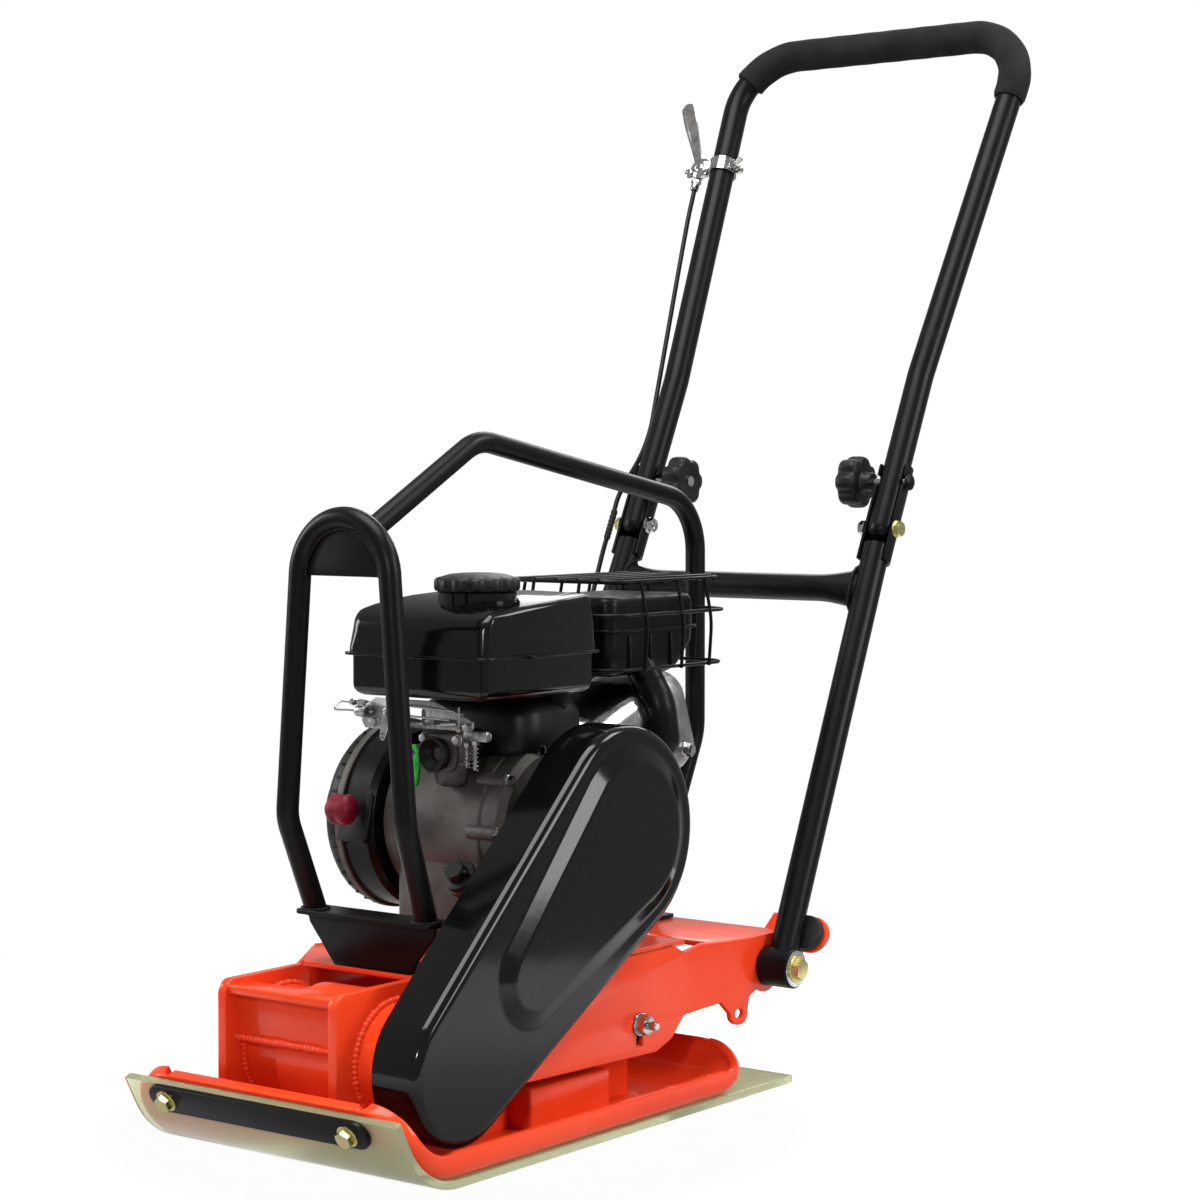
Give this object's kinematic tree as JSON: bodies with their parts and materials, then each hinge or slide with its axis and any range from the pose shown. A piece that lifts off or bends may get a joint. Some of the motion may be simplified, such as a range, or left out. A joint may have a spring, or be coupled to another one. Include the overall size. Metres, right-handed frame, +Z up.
{
  "type": "plate compactor",
  "caption": "Walk-behind plate compactor: vibrating sole plate with paving pad, belt-driven exciter, petrol engine on a sprung deck, guard cage and folding handle.",
  "frame": {"origin": "middle of the sole, on the floor under the centre of the plate", "axes": "+Z up, -Y to the front of the machine, +X to its belt side"},
  "size_m": [0.4227, 0.9752, 1.0261],
  "materials": {
    "orange_paint": "gloss orange-red paint",
    "black_coat": "satin black powder coat",
    "gloss_black": "gloss black paint",
    "black_plastic": "matt black moulding",
    "foam": "matt closed-cell foam",
    "rubber": "black rubber",
    "clear_pad": "translucent yellow-green polyurethane",
    "cast_alloy": "dull die-cast",
    "bright_steel": "bright plated",
    "yellow_zinc": "yellow zinc plate",
    "plain_steel": "machined steel",
    "dark_red": "dark red moulding",
    "green_plastic": "green moulding"
  },
  "bodies": {
    "machine": {"base_plate": "orange_paint", "paving_pad": "clear_pad", "pad_clamp_bar": "black_coat", "pad_bolt_left": "yellow_zinc", "pad_bolt_right": "yellow_zinc", "exciter_housing": "orange_paint", "exciter_cover_left": "orange_paint", "exciter_cover_right": "orange_paint", "exciter_bearing_left": "plain_steel", "exciter_bearing_right": "plain_steel", "rubber_mount_front_left": "rubber", "rubber_mount_front_right": "rubber", "rubber_mount_rear_left": "rubber", "rubber_mount_rear_right": "rubber", "engine_deck": "orange_paint", "stop_pad_left": "rubber", "stop_pad_right": "rubber", "handle_bush_left": "rubber", "handle_bush_right": "rubber", "pivot_bolt_left": "yellow_zinc", "pivot_bolt_right": "yellow_zinc", "cage_hoop": "black_coat", "cage_rail": "black_coat", "crankcase": "cast_alloy", "cylinder": "cast_alloy", "rocker_cover": "plain_steel", "cylinder_shroud": "bright_steel", "fan_housing": "black_coat", "recoil_cover": "black_plastic", "fuel_tank": "gloss_black", "silencer": "black_coat", "silencer_guard": "black_coat", "carburettor": "cast_alloy", "control_plate": "bright_steel", "v_belt": "rubber", "belt_guard": "gloss_black", "cable_engine": "black_plastic"},
    "lower_frame": {"lower_handle": "black_coat", "fold_bolt_left": "yellow_zinc", "fold_bolt_right": "yellow_zinc", "cable_lower": "black_plastic"},
    "upper_frame": {"upper_handle": "black_coat", "handle_grip": "foam", "throttle_clamp": "bright_steel", "cable_upper": "black_plastic"},
    "knob_left": {"knob_left": "black_plastic"},
    "knob_right": {"knob_right": "black_plastic"},
    "throttle_lever": {"throttle_lever": "bright_steel"},
    "throttle_arm": {"throttle_arm": "bright_steel"},
    "starter": {"starter_grip": "dark_red", "starter_rope": "black_plastic"},
    "starter_reel": {"starter_pulley": "plain_steel"},
    "crank": {"crankshaft": "plain_steel", "flywheel": "cast_alloy", "clutch_pulley": "plain_steel"},
    "exciter": {"exciter_shaft": "plain_steel", "driven_pulley": "plain_steel"},
    "fuel_cap": {"fuel_cap": "black_plastic"},
    "dipstick": {"oil_dipstick": "black_plastic"},
    "choke": {"choke_lever": "green_plastic"}
  },
  "joints": [
    {"name": "handle_tilt", "type": "hinge", "parent": "machine", "child": "lower_frame", "pos_m": [0, 0.276, 0.113], "axis": [1, 0, 0], "range_deg": [0, 7]},
    {"name": "handle_fold", "type": "hinge", "parent": "lower_frame", "child": "upper_frame", "pos_m": [0, 0.46517, 0.50871], "axis": [1, 0, 0], "range_deg": [0, 105]},
    {"name": "knob_left_turn", "type": "hinge", "parent": "upper_frame", "child": "knob_left", "pos_m": [-0.147, 0.48647, 0.55328], "axis": [1, 0, 0], "range_deg": [0, 1080]},
    {"name": "knob_right_turn", "type": "hinge", "parent": "upper_frame", "child": "knob_right", "pos_m": [0.147, 0.48647, 0.55328], "axis": [-1, 0, 0], "range_deg": [0, 1080]},
    {"name": "throttle_lever_swing", "type": "hinge", "parent": "upper_frame", "child": "throttle_lever", "pos_m": [-0.19133, 0.64631, 0.88764], "axis": [0, -0.9022, 0.4313], "range_deg": [0, 70]},
    {"name": "throttle_arm_swing", "type": "hinge", "parent": "machine", "child": "throttle_arm", "pos_m": [-0.0557, -0.0183, 0.3535], "axis": [0, -1, 0], "range_deg": [0, 36]},
    {"name": "starter_pull", "type": "slide", "parent": "machine", "child": "starter", "axis": [0, -0.97, 0.243], "range_m": [0, 0.6], "stiffness_N_per_m": 40, "springref_m": -0.25},
    {"name": "starter_reel_turn", "type": "hinge", "parent": "machine", "child": "starter_reel", "pos_m": [-0.148, 0.068, 0.255], "axis": [1, 0, 0], "range_deg": [0, 860]},
    {"name": "crank_spin", "type": "hinge", "parent": "machine", "child": "crank", "pos_m": [0, 0.068, 0.255], "axis": [1, 0, 0], "continuous": true},
    {"name": "exciter_spin", "type": "hinge", "parent": "machine", "child": "exciter", "pos_m": [0, -0.15, 0.0883], "axis": [1, 0, 0], "continuous": true},
    {"name": "fuel_cap_turn", "type": "hinge", "parent": "machine", "child": "fuel_cap", "pos_m": [0.022, 0.008, 0.461], "axis": [0, 0, 1], "range_deg": [0, 90]},
    {"name": "dipstick_turn", "type": "hinge", "parent": "machine", "child": "dipstick", "pos_m": [0.025, -0.01724, 0.21738], "axis": [0, -0.8, 0.6], "range_deg": [0, 180]},
    {"name": "choke_swing", "type": "hinge", "parent": "machine", "child": "choke", "pos_m": [-0.0275, -0.016, 0.3215], "axis": [0, 1, 0], "range_deg": [0, 50]}
  ],
  "couplings": [
    {"joint": "exciter_spin", "follows": "crank_spin", "ratio": 1.4054},
    {"joint": "throttle_arm_swing", "follows": "throttle_lever_swing", "ratio": 0.5},
    {"joint": "starter_reel_turn", "follows": "starter_pull", "rad_per_m": 25}
  ]
}
